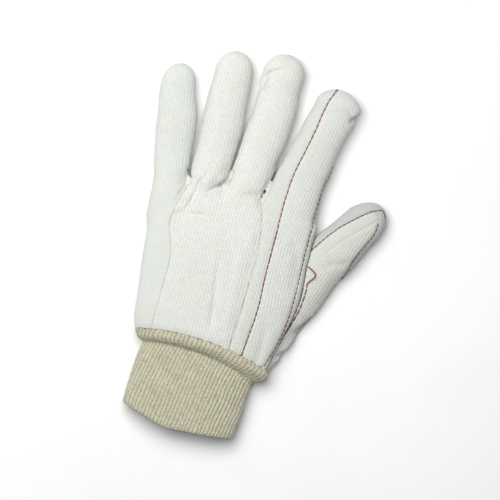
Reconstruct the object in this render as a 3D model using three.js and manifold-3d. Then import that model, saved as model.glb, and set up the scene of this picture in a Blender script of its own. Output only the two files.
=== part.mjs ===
// A left-hand cotton work glove with a rib-knit wrist, lying on its palm with the back of the hand up.
// It is sewn from cloth panels: one palm piece, four strips over the back, a two-piece thumb and a knit cuff.
// Millimetres. +Y runs from the wrist to the fingertips, +X towards the thumb and +Z up.
// While it is built, y = 0 is the wrist seam and z = 0 is the surface that the glove lies on.

import * as THREE from "three";
import { mergeVertices } from "three/addons/utils/BufferGeometryUtils.js";
import Module from "manifold-3d";

const wasm = await Module();
wasm.setup();

// Sizes of the hand.
const HAND_WIDTH = 120; // across the knuckles
const HAND_LENGTH = 116; // wrist seam to the crotch beside the little finger
const HAND_HEIGHT = 27;
const CLOTH = 2.2; // napped double-layer cotton
const SEAM_GAP = 0.35; // between two panels where they are sewn together
const REST_DEPTH = 2.5; // how far a round underside would sink, had the surface not flattened it
const HAND_SQUARENESS = 2.9; // 2 is an ellipse, more is boxier
const FINGER_SQUARENESS = 2.25;

// The side seam runs round the widest line: high on the hand, which the thumb lifts, and lower on the
// fingers. Both are shares of the height there, and from and to are where the seam comes down between them,
// as shares of the hand's length.
const SIDE_SEAM = { hand: 0.5, fingers: 0.46, thumb: 0.43, from: 0.74, to: 1.08 };

// Sizes of the knit cuff.
const CUFF_LENGTH = 54.5;
const CUFF_WIDTH = 85;
const CUFF_HEIGHT = 20;
const CUFF_KNIT = 2.4; // wall, to the tops of the ribs
const RIB_PITCH = 3.35;
const RIB_DEPTH = 0.8;
const CUFF_SQUARENESS = 2.6;

// The fingers. x and y are the root, well inside the hand, as shares of half the hand's width and of its
// length; splay is in degrees towards the thumb; tip is the length of the round end.
const FINGERS = {
  little: { x: -0.795, y: 0.734, splay: -6.9, length: 109.5, width: 28.6, height: 19, tip: 15 },
  ring: { x: -0.375, y: 0.733, splay: -0.4, length: 127, width: 30, height: 20, tip: 16 },
  middle: { x: 0.05, y: 0.733, splay: 4.3, length: 133.5, width: 31, height: 20.5, tip: 15 },
  index: { x: 0.562, y: 0.735, splay: 10.7, length: 119.5, width: 34, height: 20.5, tip: 14 },
};
const THUMB = { x: 0.497, y: 0.064, splay: 32.4, length: 141, width: 36, height: 17.5, tip: 20 };

// Sections of the hand. along is a share of its length, little_side and thumb_side are its two edges as
// shares of half its width, and height is a share of its height. The last rows are the web between the fingers.
const HAND_SECTIONS = [
  { along: -0.16, little_side: -0.79, thumb_side: 0.8, height: 0.88 },
  { along: 0.0, little_side: -0.82, thumb_side: 0.865, height: 0.9 },
  { along: 0.1, little_side: -0.862, thumb_side: 0.91, height: 0.94 },
  { along: 0.24, little_side: -0.886, thumb_side: 0.98, height: 0.98 },
  { along: 0.42, little_side: -0.925, thumb_side: 1.032, height: 1.0 },
  { along: 0.6, little_side: -0.952, thumb_side: 1.02, height: 1.0 },
  { along: 0.74, little_side: -0.968, thumb_side: 1.0, height: 0.97 },
  { along: 0.82, little_side: -0.975, thumb_side: 0.985, height: 0.93 },
  { along: 0.88, little_side: -0.94, thumb_side: 0.95, height: 0.85 },
  { along: 0.93, little_side: -0.84, thumb_side: 0.66, height: 0.74 },
  { along: 0.99, little_side: -0.6, thumb_side: 0.31, height: 0.58 },
  { along: 1.04, little_side: -0.4, thumb_side: 0.12, height: 0.45 },
  { along: 1.08, little_side: -0.24, thumb_side: -0.05, height: 0.34 },
];

// Sections of each finger, before its tip is rounded. shift moves the centre towards the thumb and width is
// the section's own, both as shares of the finger's width; height is a share of its height.
const FINGER_SECTIONS = {
  little: [
    { along: 0.0, shift: 0.0, width: 0.66, height: 0.95 },
    { along: 0.14, shift: 0.045, width: 0.78, height: 1.14 },
    { along: 0.29, shift: 0.028, width: 0.88, height: 1.07 },
    { along: 0.4, shift: 0.02, width: 0.95, height: 1.0 },
    { along: 0.53, shift: 0.02, width: 1.0, height: 1.0 },
    { along: 0.69, shift: 0.01, width: 1.0, height: 0.98 },
    { along: 0.8, shift: -0.045, width: 0.93, height: 0.95 },
    { along: 0.86, shift: -0.05, width: 0.88, height: 0.95 },
    { along: 1.0, shift: -0.03, width: 0.86, height: 0.95 },
  ],
  ring: [
    { along: 0.0, shift: 0.0, width: 0.9, height: 0.9 },
    { along: 0.15, shift: 0.01, width: 0.98, height: 1.14 },
    { along: 0.33, shift: 0.0, width: 0.97, height: 1.07 },
    { along: 0.41, shift: 0.0, width: 0.95, height: 1.0 },
    { along: 0.56, shift: 0.01, width: 1.0, height: 1.0 },
    { along: 0.71, shift: -0.01, width: 0.98, height: 0.98 },
    { along: 0.83, shift: -0.015, width: 0.94, height: 0.96 },
    { along: 1.0, shift: -0.02, width: 0.93, height: 0.96 },
  ],
  middle: [
    { along: 0.0, shift: 0.0, width: 0.9, height: 0.88 },
    { along: 0.15, shift: 0.0, width: 1.0, height: 1.12 },
    { along: 0.34, shift: 0.005, width: 0.97, height: 1.05 },
    { along: 0.42, shift: 0.01, width: 0.94, height: 1.0 },
    { along: 0.54, shift: 0.045, width: 0.99, height: 1.0 },
    { along: 0.73, shift: 0.05, width: 1.0, height: 0.98 },
    { along: 0.81, shift: -0.01, width: 0.98, height: 0.96 },
    { along: 0.9, shift: -0.015, width: 0.99, height: 0.97 },
    { along: 1.0, shift: -0.01, width: 0.97, height: 0.97 },
  ],
  index: [
    { along: 0.0, shift: 0.0, width: 1.1, height: 0.9 },
    { along: 0.13, shift: 0.0, width: 1.28, height: 1.12 },
    { along: 0.22, shift: -0.005, width: 1.23, height: 1.12 },
    { along: 0.3, shift: -0.045, width: 1.21, height: 1.08 },
    { along: 0.4, shift: -0.06, width: 1.12, height: 1.02 },
    { along: 0.49, shift: -0.025, width: 1.04, height: 1.0 },
    { along: 0.63, shift: -0.02, width: 0.96, height: 0.98 },
    { along: 0.755, shift: 0.0, width: 0.965, height: 0.95 },
    { along: 0.84, shift: 0.035, width: 0.985, height: 0.93 },
    { along: 0.91, shift: 0.055, width: 1.03, height: 0.97 },
    { along: 1.0, shift: 0.045, width: 1.0, height: 0.97 },
  ],
  thumb: [
    { along: 0.0, shift: 0.28, width: 0.9, height: 0.55 },
    { along: 0.24, shift: 0.175, width: 0.98, height: 0.75 },
    { along: 0.43, shift: 0.045, width: 1.045, height: 0.9 },
    { along: 0.57, shift: -0.055, width: 1.03, height: 0.98 },
    { along: 0.66, shift: -0.08, width: 0.98, height: 1.0 },
    { along: 0.77, shift: -0.09, width: 0.875, height: 1.0 },
    { along: 0.88, shift: -0.09, width: 0.83, height: 0.97 },
    { along: 1.0, shift: -0.075, width: 0.78, height: 0.95 },
  ],
};

// Folds, dents and ridges on the back of the hand. x is a share of half the hand's width and y of its
// length; depth is a share of its height, below zero for a ridge, and spread is half of the fold's width as
// a share of the hand's width.
const FOLDS = [
  { from: [-0.15, 1.07], to: [-0.24, 0.98], depth: 0.06, spread: 0.048 },
  { from: [-0.24, 0.98], to: [-0.42, 0.89], depth: 0.05, spread: 0.048 },
  { from: [-0.32, 1.08], to: [-0.42, 0.97], depth: -0.04, spread: 0.058 },
  { from: [-0.5, 0.95], to: [-0.62, 0.74], depth: 0.048, spread: 0.037 },
  { from: [-0.3, 0.76], to: [-0.55, 0.72], depth: 0.030, spread: 0.067 },
  { from: [0.36, 0.9], to: [0.39, 0.7], depth: 0.048, spread: 0.033 },
  { from: [0.39, 0.7], to: [0.36, 0.06], depth: 0.041, spread: 0.033 },
  { from: [-0.7, 0.6], to: [-0.66, 0.3], depth: 0.022, spread: 0.058 },
];

// Seam lines over the back, from the wrist to past the fingertips: x as a share of half the hand's width
// and y as a share of its length.
const SEAMS = {
  little: [[-0.62, -0.3], [-0.615, 0.17], [-0.6, 0.45], [-0.66, 0.6], [-0.715, 0.71], [-0.66, 0.86],
    [-0.59, 0.98], [-0.635, 1.08], [-0.66, 1.3], [-0.72, 1.52], [-0.86, 2.1]],
  centre: [[0.33, -0.3], [0.355, 0.06], [0.38, 0.28], [0.405, 0.56], [0.39, 0.74], [0.33, 0.9],
    [0.29, 0.99], [0.38, 1.16], [0.43, 1.29], [0.5, 1.46], [0.56, 1.75], [0.56, 2.1]],
  index: [[0.5, -0.3], [0.535, 0.1], [0.573, 0.3], [0.56, 0.55], [0.568, 0.82], [0.58, 1.1],
    [0.64, 1.27], [0.73, 1.48], [0.79, 1.66], [0.875, 1.755], [1.0, 2.1]],
  edge: [[0.65, -0.2], [0.8, -0.045], [0.89, 0.095], [0.945, 0.25], [0.965, 0.45], [0.96, 0.75],
    [0.963, 1.0], [0.995, 1.18], [1.03, 1.265], [1.16, 1.4], [1.3, 1.6], [1.4, 2.1]],
};

// The two seams on the back of the thumb, the upper from its base to its tip and the lower back again: the
// share of the thumb's length, and how far across it, as a share of half its width there.
const THUMB_SEAMS = {
  upper: [[0.0, -0.6], [0.3, -0.64], [0.6, -0.69], [0.74, -0.66], [0.8, -0.58], [0.85, -0.45],
    [0.91, -0.29], [0.955, -0.14]],
  lower: [[0.955, 0.26], [0.93, 0.47], [0.9, 0.66], [0.85, 0.77], [0.78, 0.81], [0.7, 0.83],
    [0.64, 0.89], [0.56, 1.04], [0.4, 1.2], [0.0, 1.2]],
};

// Rings of the cuff, from the wrist seam down. along is a share of the cuff's length and height of its
// height. shift is sideways and rise is how far the ring's middle stands towards the fingers; they and width
// are shares of the cuff's width. slope is the ring's slant and ribs is how deep the ribs are here.
const CUFF_RINGS = [
  { along: 0.0, shift: 0.019, width: 1.19, height: 1.22, rise: 0.082, slope: -0.08, ribs: 0.3 },
  { along: 0.05, shift: 0.031, width: 1.195, height: 1.3, rise: 0.082, slope: -0.085, ribs: 0.8 },
  { along: 0.105, shift: 0.035, width: 1.15, height: 1.26, rise: 0.078, slope: -0.1, ribs: 0.9 },
  { along: 0.165, shift: 0.016, width: 1.01, height: 0.98, rise: 0.068, slope: -0.115, ribs: 0.7 },
  { along: 0.3, shift: 0.000, width: 0.995, height: 0.96, rise: 0.047, slope: -0.1, ribs: 1.0 },
  { along: 0.6, shift: -0.014, width: 1.005, height: 1.0, rise: -0.009, slope: -0.08, ribs: 1.0 },
  { along: 0.95, shift: -0.028, width: 0.985, height: 1.06, rise: -0.061, slope: -0.065, ribs: 1.0 },
  { along: 1.0, shift: -0.031, width: 0.965, height: 1.0, rise: -0.066, slope: -0.065, ribs: 0.6 },
];
const WRIST_SEAM = -0.024; // place of the seam's two sides along the hand, as a share of its length

// How finely the forms are cut into facets.
const HAND_TOP_SIDES = 28;
const HAND_UNDER_SIDES = 10;
const HAND_STATIONS = 17;
const FINGER_TOP_SIDES = 10;
const FINGER_UNDER_SIDES = 6;
const FINGER_STATIONS = 10;
const TIP_STATIONS = 3;
const CUFF_RIBS = Math.round((1.9 * (CUFF_WIDTH + CUFF_HEIGHT)) / RIB_PITCH); // counted round an oval
const CUFF_HOLLOW_SIDES = 18;
const INNER_SHARE = 0.6; // a hollow needs fewer facets than the outside
const SEAM_STEPS = 24;
const SMALLEST_FACET = 0.06; // slivers thinner than this are cleaned away
const FAR = 400; // beyond every edge of the glove

const WHITE_CLOTH = new THREE.Color(0xe4e5dd);
const BEIGE_KNIT = new THREE.Color(0xbcb79c);

// A column of a table at any place along it, on a smooth curve through its rows.
function valueAt(table, column, along) {
  const next = table.findIndex((row) => row.along > along);
  if (next === 0) return table[0][column];
  if (next < 0) return table[table.length - 1][column];
  const a = table[next - 1];
  const b = table[next];
  const before = table[next - 2] ?? a;
  const after = table[next + 1] ?? b;
  const span = b.along - a.along;
  const startSlope = ((b[column] - before[column]) / (b.along - before.along)) * span;
  const endSlope = ((after[column] - a[column]) / (after.along - a.along)) * span;
  const t = (along - a.along) / span;
  return (
    (2 * t ** 3 - 3 * t ** 2 + 1) * a[column] +
    (t ** 3 - 2 * t ** 2 + t) * startSlope +
    (3 * t ** 2 - 2 * t ** 3) * b[column] +
    (t ** 3 - t ** 2) * endSlope
  );
}

function solidOf(geometry) {
  const bare = geometry.clone().deleteAttribute("normal").deleteAttribute("uv");
  const merged = mergeVertices(bare, 1e-4);
  const mesh = new wasm.Mesh({
    numProp: 3,
    vertProperties: merged.attributes.position.array,
    triVerts: new Uint32Array(merged.index.array),
  });
  const solid = new wasm.Manifold(mesh);
  if (solid.volume() >= 0) return solid;
  for (let i = 0; i < mesh.triVerts.length; i += 3)
    [mesh.triVerts[i + 1], mesh.triVerts[i + 2]] = [mesh.triVerts[i + 2], mesh.triVerts[i + 1]];
  return new wasm.Manifold(mesh);
}

function geometryOf(solid) {
  const { numProp, vertProperties, triVerts } = solid.getMesh();
  const position = new Float32Array((vertProperties.length / numProp) * 3);
  for (let i = 0; i < position.length / 3; i++)
    position.set(vertProperties.subarray(i * numProp, i * numProp + 3), i * 3);
  const geometry = new THREE.BufferGeometry();
  geometry.setAttribute("position", new THREE.BufferAttribute(position, 3));
  geometry.setIndex(new THREE.BufferAttribute(new Uint32Array(triVerts), 1));
  geometry.computeVertexNormals();
  return geometry;
}

// A closed body through rings of points, all with the same count, with a fan to a pole at each end.
function loft(rings, startPole, endPole) {
  const count = rings[0].length;
  const points = [...rings.flat(), startPole, endPole];
  const start = points.length - 2;
  const end = points.length - 1;
  const last = (rings.length - 1) * count;
  const faces = [];
  for (let i = 0; i < count; i++) {
    const j = (i + 1) % count;
    faces.push(start, j, i, end, last + i, last + j);
    for (let r = 0; r < last; r += count)
      faces.push(r + i, r + j, r + count + j, r + i, r + count + j, r + count + i);
  }
  const geometry = new THREE.BufferGeometry().setFromPoints(points);
  geometry.setIndex(faces);
  return solidOf(geometry);
}

const middleOf = (ring) =>
  ring.reduce((sum, p) => sum.add(p), new THREE.Vector3()).divideScalar(ring.length);

// A boxy oval: [sideways, up] pairs, flatter than a circle by its squareness. Its widest line is at edge.
function oval({ halfWidth, top, base, edge, squareness, topSides, underSides }) {
  const power = 2 / squareness;
  const bent = (v) => Math.sign(v) * Math.abs(v) ** power;
  const half = (sides, from, reach) =>
    Array.from({ length: sides }, (_, i) => {
      const angle = from + (Math.PI * i) / sides;
      return [halfWidth * bent(Math.cos(angle)), edge + reach * Math.abs(bent(Math.sin(angle)))];
    });
  return [...half(topSides, 0, top - edge), ...half(underSides, Math.PI, base - edge)];
}

const handX = (share) => (share * HAND_WIDTH) / 2;
const handY = (share) => share * HAND_LENGTH;
const handPoint = ([x, y]) => new THREE.Vector2(handX(x), handY(y));

const FINGER_SEAM_HEIGHT = SIDE_SEAM.fingers * FINGERS.middle.height;
const THUMB_SEAM_HEIGHT = SIDE_SEAM.thumb * THUMB.height;

// The height of the side seam and of the widest line, at a place along the hand.
function seamHeight(y) {
  const down = THREE.MathUtils.smoothstep(y / HAND_LENGTH, SIDE_SEAM.from, SIDE_SEAM.to);
  return THREE.MathUtils.lerp(SIDE_SEAM.hand * HAND_HEIGHT, FINGER_SEAM_HEIGHT, down);
}

// How far the folds push the back of the hand down at a point of the plan.
const foldLines = FOLDS.map(({ from, to, depth, spread }) => ({
  line: new THREE.Line3(
    new THREE.Vector3(...handPoint(from).toArray(), 0),
    new THREE.Vector3(...handPoint(to).toArray(), 0),
  ),
  depth: depth * HAND_HEIGHT,
  spread: spread * HAND_WIDTH,
}));
function foldDepth(x, y) {
  const place = new THREE.Vector3(x, y, 0);
  const nearest = new THREE.Vector3();
  return foldLines.reduce((sum, { line, depth, spread }) => {
    const distance = line.closestPointToPoint(place, true, nearest).distanceTo(place);
    return sum + depth * Math.exp(-((distance / spread) ** 2));
  }, 0);
}

// The floor flattens every underside: the form above a height.
const slabBetween = (low, high) => {
  const slab = new THREE.BoxGeometry(2 * FAR, 2 * FAR, high - low);
  return solidOf(slab.translate(0, 0, (low + high) / 2));
};
const restingOn = (form, height) => form.intersect(slabBetween(height, FAR));

// Moves an oval's points to their place: sideways along the section, up, and down into the folds.
function placed(section, centre, sideways, edge, top) {
  return section.map(([across, up]) => {
    const x = centre.x + across * sideways.x;
    const y = centre.y + across * sideways.y;
    const share = THREE.MathUtils.clamp((up - edge) / (top - edge), 0, 1);
    return new THREE.Vector3(x, y, up - foldDepth(x, y) * share);
  });
}

// A hollow is a form shrunk on every side by an inset, and needs fewer facets.
const facets = (count, inset) => (inset > 0 ? Math.round(count * INNER_SHARE) : count);

// The hand without its fingers.
function handForm(inset) {
  const first = HAND_SECTIONS[0].along;
  const last = HAND_SECTIONS[HAND_SECTIONS.length - 1].along - inset / HAND_LENGTH;
  const stations = facets(HAND_STATIONS, inset);
  const rings = Array.from({ length: stations + 1 }, (_, i) => {
    const along = THREE.MathUtils.lerp(first, last, i / stations);
    const left = handX(valueAt(HAND_SECTIONS, "little_side", along)) + inset;
    const right = handX(valueAt(HAND_SECTIONS, "thumb_side", along)) - inset;
    const top = HAND_HEIGHT * valueAt(HAND_SECTIONS, "height", along) - inset;
    const edge = Math.min(seamHeight(handY(along)), 0.6 * top);
    const section = oval({
      halfWidth: (right - left) / 2,
      top,
      base: inset - REST_DEPTH,
      edge,
      squareness: HAND_SQUARENESS,
      topSides: facets(HAND_TOP_SIDES, inset),
      underSides: facets(HAND_UNDER_SIDES, inset),
    });
    return placed(section, { x: (left + right) / 2, y: handY(along) }, { x: 1, y: 0 }, edge, top);
  });
  return loft(rings, middleOf(rings[0]), middleOf(rings[stations]));
}

// How a finger or the thumb runs over the plan: its direction, and its middle and half width at any share
// of its length.
function runOf(name) {
  const finger = name === "thumb" ? THUMB : FINGERS[name];
  const table = FINGER_SECTIONS[name];
  const angle = THREE.MathUtils.degToRad(finger.splay);
  const forward = new THREE.Vector2(Math.sin(angle), Math.cos(angle));
  const sideways = new THREE.Vector2(forward.y, -forward.x);
  const root = handPoint([finger.x, finger.y]);
  const middleAt = (along) =>
    root
      .clone()
      .addScaledVector(forward, along * finger.length)
      .addScaledVector(sideways, finger.width * valueAt(table, "shift", along));
  const halfWidthAt = (along) => (finger.width * valueAt(table, "width", along)) / 2;
  return { finger, table, sideways, middleAt, halfWidthAt };
}

// A finger or the thumb, from its root inside the hand to its round tip.
function fingerForm(name, inset) {
  const { finger, table, sideways, middleAt, halfWidthAt } = runOf(name);
  const length = finger.length - inset;
  const tip = finger.tip - inset / 2;
  const stations = facets(FINGER_STATIONS, inset);
  const straight = Array.from({ length: stations }, (_, i) => ((length - tip) * i) / stations);
  const round = Array.from({ length: TIP_STATIONS }, (_, i) => Math.sin((i * Math.PI) / 2 / TIP_STATIONS));
  const distances = [...straight, ...round.map((share) => length - tip * (1 - share))];
  const edgeAt = (along) => (name === "thumb" ? THUMB_SEAM_HEIGHT : seamHeight(middleAt(along).y));
  const rings = distances.map((distance) => {
    const along = distance / finger.length;
    const roundShare = Math.max(0, 1 - (length - distance) / tip);
    const rounding = Math.sqrt(1 - roundShare ** 2);
    const edge = edgeAt(along);
    const top = finger.height * valueAt(table, "height", along) - inset;
    const section = oval({
      halfWidth: (halfWidthAt(along) - inset) * rounding,
      top: edge + (top - edge) * rounding,
      base: edge + (inset - REST_DEPTH - edge) * rounding,
      edge,
      squareness: FINGER_SQUARENESS,
      topSides: facets(FINGER_TOP_SIDES, inset),
      underSides: facets(FINGER_UNDER_SIDES, inset),
    });
    return placed(section, middleAt(along), sideways, edge, top);
  });
  const end = length / finger.length;
  const pole = new THREE.Vector3(middleAt(end).x, middleAt(end).y, edgeAt(end));
  return loft(rings, middleOf(rings[0]), pole);
}

const union = (forms) => forms.reduce((all, form) => all.add(form));

const bodyForm = (inset) =>
  restingOn(
    union([handForm(inset), ...Object.keys(FINGERS).map((name) => fingerForm(name, inset))]),
    Math.max(0, inset),
  );
const thumbForm = (inset) => restingOn(fingerForm("thumb", inset), Math.max(0, inset));

// An upright wall over an outline in plan, which can be grown or shrunk first.
function prism(outline, grow = 0) {
  const plan = new wasm.CrossSection([outline.map((p) => p.toArray())], "EvenOdd").offset(grow, "Miter");
  return plan.extrude(2 * FAR).translate([0, 0, -FAR]);
}

const seamLine = (points) => new THREE.SplineCurve(points).getPoints(SEAM_STEPS);

// Everything on the little finger's side of a seam.
function beforeSeam(name, grow) {
  const line = seamLine(SEAMS[name].map(handPoint));
  const corners = [line[line.length - 1], line[0]].map((p) => new THREE.Vector2(-FAR, p.y));
  return prism([...line, ...corners], grow);
}

// The cloth between two seams, less half a gap at each.
const strip = (cloth, from, to) =>
  cloth.subtract(beforeSeam(from, SEAM_GAP / 2)).intersect(beforeSeam(to, -SEAM_GAP / 2));

// Everything below the side seam, moved up or down first.
function belowSideSeam(move) {
  const line = Array.from({ length: SEAM_STEPS + 1 }, (_, i) => {
    const y = handY(THREE.MathUtils.lerp(SIDE_SEAM.to, SIDE_SEAM.from, i / SEAM_STEPS));
    return [y, seamHeight(y) + move];
  });
  const heights = [[FAR, seamHeight(FAR) + move], ...line, [-FAR, seamHeight(-FAR) + move]];
  const profile = [[-FAR, -FAR], [FAR, -FAR], ...heights].map(([y, z]) => new THREE.Vector2(y, z));
  // A prism stands along z, and turning it twice lays it along x with its plan upright.
  return prism(profile).rotate([90, 0, 0]).rotate([0, 0, 90]);
}

// How far along the hand a point of a cuff ring is, at a distance across from the ring's middle.
function ringY(ring, across) {
  const toSide = Math.min(1, Math.abs(across) / (ring.width * CUFF_WIDTH * 0.5));
  const sides = handY(WRIST_SEAM) - ring.along * CUFF_LENGTH + ring.slope * across;
  return sides + ring.rise * CUFF_WIDTH * (1 - toSide ** 2);
}

// Everything on the fingers' side of the wrist seam.
function aboveWristSeam() {
  const ring = CUFF_RINGS[0];
  const steps = Array.from({ length: SEAM_STEPS + 1 }, (_, i) => ((2 * i) / SEAM_STEPS - 1) * CUFF_WIDTH);
  const line = [-FAR, ...steps, FAR].map(
    (across) => new THREE.Vector2(ring.shift * CUFF_WIDTH + across, ringY(ring, across) + SEAM_GAP),
  );
  return prism([...line, new THREE.Vector2(FAR, FAR), new THREE.Vector2(-FAR, FAR)]);
}

// The cuff as a solid: ribbed outside, smooth when it is shrunk to make the hollow.
function cuffForm(inset) {
  const sides = inset > 0 ? CUFF_HOLLOW_SIDES : CUFF_RIBS;
  const rings = CUFF_RINGS.map((ring) => {
    const halfWidth = (ring.width * CUFF_WIDTH) / 2 - inset;
    const top = ring.height * CUFF_HEIGHT - inset;
    const edge = (ring.height * CUFF_HEIGHT) / 2;
    const section = oval({
      halfWidth,
      top,
      base: inset - REST_DEPTH,
      edge,
      squareness: CUFF_SQUARENESS,
      topSides: sides,
      underSides: sides,
    });
    return section.map(([across, up], i) => {
      const outward = new THREE.Vector2(across / halfWidth, (up - edge) / (top - edge)).normalize();
      const groove = inset > 0 || i % 2 ? 0 : RIB_DEPTH * ring.ribs;
      const side = across - groove * outward.x;
      const x = ring.shift * CUFF_WIDTH + side;
      return new THREE.Vector3(x, ringY(ring, side), up - groove * outward.y);
    });
  });
  const form = loft(rings, middleOf(rings[0]), middleOf(rings[rings.length - 1]));
  return restingOn(form, Math.max(0, inset));
}

const aboveWrist = aboveWristSeam();
const thumbHollow = thumbForm(CLOTH);
const hand = bodyForm(0).subtract(bodyForm(CLOTH)).subtract(thumbHollow).intersect(aboveWrist);
const thumb = thumbForm(0).subtract(thumbHollow).subtract(bodyForm(-SEAM_GAP)).intersect(aboveWrist);

const back = hand.subtract(belowSideSeam(SEAM_GAP / 2)).intersect(beforeSeam("edge", -SEAM_GAP / 2));
const underside = hand.intersect(belowSideSeam(-SEAM_GAP / 2));
const wrap = hand.subtract(beforeSeam("edge", SEAM_GAP / 2));

// The back of the thumb is the tongue between its two seams, down to the thumb's widest line.
const { sideways, middleAt, halfWidthAt } = runOf("thumb");
const thumbPoint = ([along, across]) => middleAt(along).addScaledVector(sideways, across * halfWidthAt(along));
const tongueLine = [THUMB_SEAMS.upper, THUMB_SEAMS.lower].flatMap((seam) => seamLine(seam.map(thumbPoint)));
const tongue = (grow) => prism(tongueLine, grow).intersect(slabBetween(THUMB_SEAM_HEIGHT - grow, FAR));

const PIECES = [
  { name: "palm_panel", cloth: underside.add(wrap), colour: WHITE_CLOTH },
  { name: "back_panel_little", cloth: back.intersect(beforeSeam("little", -SEAM_GAP / 2)), colour: WHITE_CLOTH },
  { name: "back_panel_centre", cloth: strip(back, "little", "centre"), colour: WHITE_CLOTH },
  { name: "back_panel_index", cloth: strip(back, "centre", "index"), colour: WHITE_CLOTH },
  { name: "index_wrap_panel", cloth: strip(back, "index", "edge"), colour: WHITE_CLOTH },
  { name: "thumb_back_panel", cloth: thumb.intersect(tongue(-SEAM_GAP / 2)), colour: WHITE_CLOTH },
  { name: "thumb_palm_panel", cloth: thumb.subtract(tongue(SEAM_GAP / 2)), colour: WHITE_CLOTH },
  { name: "knit_cuff", cloth: cuffForm(0).subtract(cuffForm(CUFF_KNIT)), colour: BEIGE_KNIT },
];

const glove = new THREE.Group();
for (const { name, cloth, colour } of PIECES) {
  const material = new THREE.MeshStandardMaterial({ color: colour, roughness: 0.95 });
  const mesh = new THREE.Mesh(geometryOf(cloth.simplify(SMALLEST_FACET)), material);
  mesh.name = name;
  glove.add(mesh);
}

// The origin is under the middle of the glove.
const middle = new THREE.Box3().setFromObject(glove).getCenter(new THREE.Vector3());
glove.position.set(-middle.x, -middle.y, 0);

export default glove;
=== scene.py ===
"""A cotton work glove with a rib-knit wrist, lying on its palm on a pale floor.

The hand and the thumb are smooth fields, turned into meshes, creased, cut into their panels along the seams
and given the thickness of the cloth. The cuff is swept from rings, and stitches run along most of the seams.

Lengths are millimetres, with y = 0 at the wrist seam, +X towards the thumb and z = 0 on the floor. They turn
into the frame's metres when a piece is made.
"""
import math

import bpy
import numpy as np
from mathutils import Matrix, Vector, noise
from mathutils.bvhtree import BVHTree


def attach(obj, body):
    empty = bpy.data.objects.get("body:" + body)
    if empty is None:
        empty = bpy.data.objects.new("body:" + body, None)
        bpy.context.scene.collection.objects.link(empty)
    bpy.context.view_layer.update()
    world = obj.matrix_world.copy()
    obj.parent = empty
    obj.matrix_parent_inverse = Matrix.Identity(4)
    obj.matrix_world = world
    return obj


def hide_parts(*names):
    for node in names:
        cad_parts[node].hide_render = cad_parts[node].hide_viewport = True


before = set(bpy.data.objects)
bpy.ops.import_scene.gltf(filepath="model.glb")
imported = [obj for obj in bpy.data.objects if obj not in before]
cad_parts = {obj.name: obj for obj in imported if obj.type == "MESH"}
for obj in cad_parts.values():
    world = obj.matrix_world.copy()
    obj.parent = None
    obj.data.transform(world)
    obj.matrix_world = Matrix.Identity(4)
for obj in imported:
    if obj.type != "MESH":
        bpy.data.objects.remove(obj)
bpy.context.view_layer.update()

MM = 0.001
ORIGIN = np.array([17.588, 77.446, 0.0])  # the frame's origin, seen from the middle of the wrist seam

# Sizes of the glove, as in the construction
HAND_WIDTH = 120.0
HAND_LENGTH = 116.0
HAND_HEIGHT = 27.0
CLOTH = 1.9
SEAM_GAP = 0.06
REST_DEPTH = 2.5
HAND_SQUARENESS = 2.9
FINGER_SQUARENESS = 2.25
SIDE_SEAM = {"hand": 0.5, "fingers": 0.46, "thumb": 0.43, "from": 0.74, "to": 1.08}

# How finely the cloth is meshed, and how softly the forms run into each other
GRID = 0.9
FINGER_BLEND = 1.2
HAND_BLEND = 4.0

# Each finger: its root as shares of half the hand's width and of its length, its splay in degrees, its sizes
FINGERS = {
    "little": dict(x=-0.795, y=0.734, splay=-6.9, length=109.5, width=28.6, height=19.0, tip=15.0),
    "ring": dict(x=-0.375, y=0.733, splay=-0.4, length=127.0, width=30.0, height=20.0, tip=16.0),
    "middle": dict(x=0.05, y=0.733, splay=4.3, length=133.5, width=31.0, height=20.5, tip=15.0),
    "index": dict(x=0.562, y=0.735, splay=10.7, length=119.5, width=34.0, height=20.5, tip=14.0),
    "thumb": dict(x=0.497, y=0.064, splay=32.4, length=141.0, width=36.0, height=17.5, tip=20.0),
}
HAND_FINGERS = ("little", "ring", "middle", "index")

# Sections of the hand: along its length, its two edges as shares of half its width, and its height
HAND_SECTIONS = (
    (-0.16, -0.79, 0.8, 0.88),
    (0, -0.82, 0.865, 0.9),
    (0.1, -0.862, 0.91, 0.94),
    (0.24, -0.886, 0.98, 0.98),
    (0.42, -0.925, 1.032, 1),
    (0.6, -0.952, 1.02, 1),
    (0.74, -0.968, 1, 0.97),
    (0.82, -0.975, 0.985, 0.93),
    (0.88, -0.94, 0.95, 0.85),
    (0.93, -0.84, 0.66, 0.74),
    (0.99, -0.6, 0.31, 0.58),
    (1.04, -0.4, 0.12, 0.45),
    (1.08, -0.24, -0.05, 0.34),
)

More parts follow.
